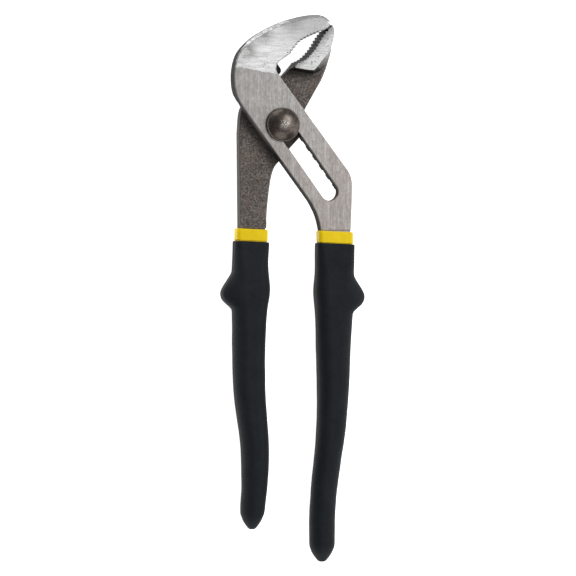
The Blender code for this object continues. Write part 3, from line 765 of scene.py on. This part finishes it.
NUT_CORNER = 13.0 / math.sqrt(3)
NUT_TOP = 3.4
NUT_BORE = 4.3
hexagon = blank("lock_nut_steel", [(arc((0, 0), NUT_CORNER, 0, 300, 5), 0.12, 0.12, 0)], 0, NUT_TOP)
outer = NUT_CORNER + 3
cone_low = turned("cone_low", [(NUT_CORNER - 1.0, -0.6), (outer, -0.6), (outer, 2.6)])
cone_high = turned("cone_high", [(NUT_CORNER - 0.8, NUT_TOP + 0.4), (outer, NUT_TOP - 1.6),
                                 (outer, NUT_TOP + 0.4)])
drill = turned("drill", [(0, -1), (NUT_BORE + 0.9, -1), (NUT_BORE + 0.4, 0), (NUT_BORE, 0.4),
                         (NUT_BORE, NUT_TOP + 1), (0, NUT_TOP + 1)])
lock_nut = shaded(worked(hexagon, "DIFFERENCE", [cone_low, cone_high, drill]))
lock_nut.data.materials.clear()
lock_nut.data.materials.append(oiled)
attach(lock_nut, "pivot_body")
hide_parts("lock_nut")


# ---- Yellow underlayers ----
# The first dip on each handle: a smooth yellow plastisol skin, bonded to the steel from the band down to
# the tip. All but its top six millimetres is under the black grip.

BAND_SKIN = 0.7
TIP_ROWS = (10, 9, 8, 7, 6, 5, 4.2, 3.2, 2.4, 1.6, 1.1, 0.7, 0.35, 0.15, 0)


def dip_rows(handle, skins, end, steps, spacing, bumped=False, wave=0.0):
    """Rings from the mouth down to `end` mm short of the tip, their skin going from one depth to another."""
    length = handle.mouth - handle.tip[1]
    downs = [length * i / round(length / spacing) for i in range(round(length / spacing))]
    downs = [d for d in downs if d < length - 10]
    downs += [length - d for d in TIP_ROWS if d >= end]
    made = []
    for down in downs:
        share = at([(0, 0), (2, 0), (14, 1), (200, 1)], down)
        skin = skins[0] + (skins[1] - skins[0]) * share
        ring = handle.ring(handle.mouth - down, skin, steps, bumped, handle.slant * max(0, 1 - down / 20))
        if wave:
            fade = min(1, down / 5, (length - down) / 8)
            ring = [(x + wave * fade * noise.noise(Vector((x, y, z)) / 7), y,
                     z + wave * fade * noise.noise(Vector((x + 40, y, z)) / 7)) for x, y, z in ring]
        made.append(ring)
    return made


def yellow_dip():
    dip = Finish("yellow_dip", {"Specular IOR Level": 0.14, "Coat Weight": 0.06, "Coat Roughness": 0.25})
    cloud = dip.noise(0.28, 3)
    fine = dip.noise(1.6, 3)
    colour = dip.mix(dip.step(cloud, 0.35, 0.7), (0.80, 0.56, 0.001), (0.86, 0.62, 0.003))
    colour = dip.mix(dip.step(fine, 0.62, 0.78) * 0.2, colour, (0.55, 0.37, 0.02))
    grime = dip.step(dip.noise(0.8, 4, 0.7), 0.62, 0.8) * 0.22
    colour = dip.mix(grime, colour, (0.30, 0.21, 0.03))
    return dip.finish(colour, 0.36 + 0.12 * fine, 0.0, cloud + 0.2 * fine, 0.05)


yellow = yellow_dip()
for handle, half in ((slotted_handle, "slotted"), (tongued_handle, "tongued")):
    slant = handle.slant
    lip = [handle.ring(handle.band - d, skin, 12, slanted=slant)
           for d, skin in ((0, 1.6), (0.02, 1.25), (0.16, 0.93), (0.42, 0.76))]
    band = [handle.ring(handle.band - d, BAND_SKIN, 12, slanted=slant)
            for d in (0.8, 1.6, 2.6, 3.6, 4.6, 5.4)]
    band.append(handle.ring(handle.mouth + 0.25, 1.05, 12, slanted=slant))
    inside = dip_rows(handle, (1.85, 2.3), 6, 12, 12)[::-1]
    inside.append(handle.ring(handle.band - 0.3, 1.85, 12, slanted=slant))
    hidden = dip_rows(handle, (1.05, 1.45), 4.2, 12, 12)[1:]
    under = shaded(lofted(f"{half}_yellow_dip", inside + lip + band + hidden))
    under.data.materials.append(yellow)
    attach(under, f"{half}_body")
    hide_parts(f"{half}_half_yellow_underlayer")


# ---- Black grips ----
# The second dip: a thicker, matt black plastisol grip with a rolled mouth, a thumb bump on its outer side
# and a blunt tip. Its skin waves a little, as a dipped skin does, and is finely grained.

def black_dip():
    dip = Finish("black_dip", {"Specular IOR Level": 0.22})
    grain = dip.noise(1.9, 4, 0.7)
    cloud = dip.noise(0.16, 3)
    dull = dip.step(dip.noise(0.5, 3), 0.4, 0.8)
    colour = dip.mix(dip.step(cloud, 0.3, 0.7), (0.0036, 0.0058, 0.0086), (0.0066, 0.0092, 0.0126))
    colour = dip.mix(dip.step(grain, 0.5, 0.72) * 0.5, colour, (0.020, 0.023, 0.026))
    tips = dip.step(dip.y, -183.0, -189.5) * dip.step(dip.x, 0.0, -2.0) | dip.step(dip.y, -197.0, -204.5)
    colour = dip.mix(tips * 0.5, colour, (0.028, 0.031, 0.034))
    return dip.finish(colour, 0.60 + 0.18 * grain + 0.05 * dull, 0.0, grain + 0.6 * dull, 0.05)


black = black_dip()
for handle, half in ((slotted_handle, "slotted"), (tongued_handle, "tongued")):
    slant = handle.slant
    inside = dip_rows(handle, (0.9, 1.3), 3.2, 16, 10)[::-1]
    mouth = [handle.ring(handle.mouth - d, skin, 16, slanted=slant)
             for d, skin in ((-0.02, 0.62), (0.02, 0.42), (0.12, 0.22), (0.32, 0.08), (0.6, 0.0))]
    outside = dip_rows(handle, (0.0, 0.1), 0, 16, 1.1, bumped=True, wave=0.10)[1:]
    grip = shaded(lofted(f"{half}_black_grip_skin", inside + mouth + outside), 50)
    grip.data.materials.append(black)
    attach(grip, f"{half}_body")
    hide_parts(f"{half}_half_black_grip")


# ---- Table, light and camera ----
# A white table, which glows a little so that it stays even, under five soft panels: one overhead, a small
# strong one at the upper right, and wide ones to the right, beyond the handles and beyond the jaws.

bm = bmesh.new()
bmesh.ops.create_grid(bm, x_segments=1, y_segments=1, size=3000)
table = shaded(mesh_object("table", bm))
table.location.z = -0.0002
paper = Finish("paper", {"Emission Color": (1.0, 1.0, 1.0, 1.0), "Emission Strength": 0.9})
table.data.materials.append(paper.finish(
    paper.mix(paper.noise(0.02, 2), (0.93, 0.93, 0.93), (0.90, 0.90, 0.90)), 0.7, 0.0))

middle = (cad_low + cad_high) / 2


def panel(name, azimuth, height, distance, size, glow):
    """A rectangular soft light aimed at the tool. Azimuth is from +X, height above the table, in degrees."""
    a, e = math.radians(azimuth), math.radians(height)
    towards = Vector((math.cos(a) * math.cos(e), math.sin(a) * math.cos(e), math.sin(e)))
    light = bpy.data.lights.new(name, "AREA")
    light.shape = "RECTANGLE"
    light.size, light.size_y = size
    light.energy = glow * math.pi * size[0] * size[1]
    made = bpy.data.objects.new(name, light)
    made.location = middle + towards * distance
    made.rotation_mode = "QUATERNION"
    made.rotation_quaternion = towards.to_track_quat("Z", "Y")
    bpy.context.scene.collection.objects.link(made)


panel("overhead", 0, 74, 1.2, (0.30, 0.9), 1.6)
panel("key", 40, 50, 1.2, (0.6, 0.6), 4.8)
panel("right", -10, 30, 1.3, (0.8, 1.2), 1.2)
panel("bottom", -90, 42, 1.4, (1.2, 0.8), 1.2)
panel("top", 108, 20, 1.3, (1.2, 0.5), 2.2)

sky = bpy.data.worlds.new("sky")
sky.use_nodes = True
sky.node_tree.nodes["Background"].inputs["Color"].default_value = (1.0, 1.0, 1.0, 1.0)
sky.node_tree.nodes["Background"].inputs["Strength"].default_value = 0.28
scene = bpy.context.scene
scene.world = sky
scene.view_settings.view_transform = "Standard"

VIEW_TURN = math.radians(15)
VIEW_DISTANCE = 3.0
FRAME_HEIGHT = 0.2707
view_centre = Vector((2.6, -76.8, FACE)) * MM
camera = bpy.data.cameras.new("camera")
camera.lens = camera.sensor_width / FRAME_HEIGHT * VIEW_DISTANCE
eye = bpy.data.objects.new("camera", camera)
eye.location = view_centre + Vector((-math.sin(VIEW_TURN), 0, math.cos(VIEW_TURN))) * VIEW_DISTANCE
eye.rotation_euler = (0, -VIEW_TURN, 0)
scene.collection.objects.link(eye)
scene.camera = eye
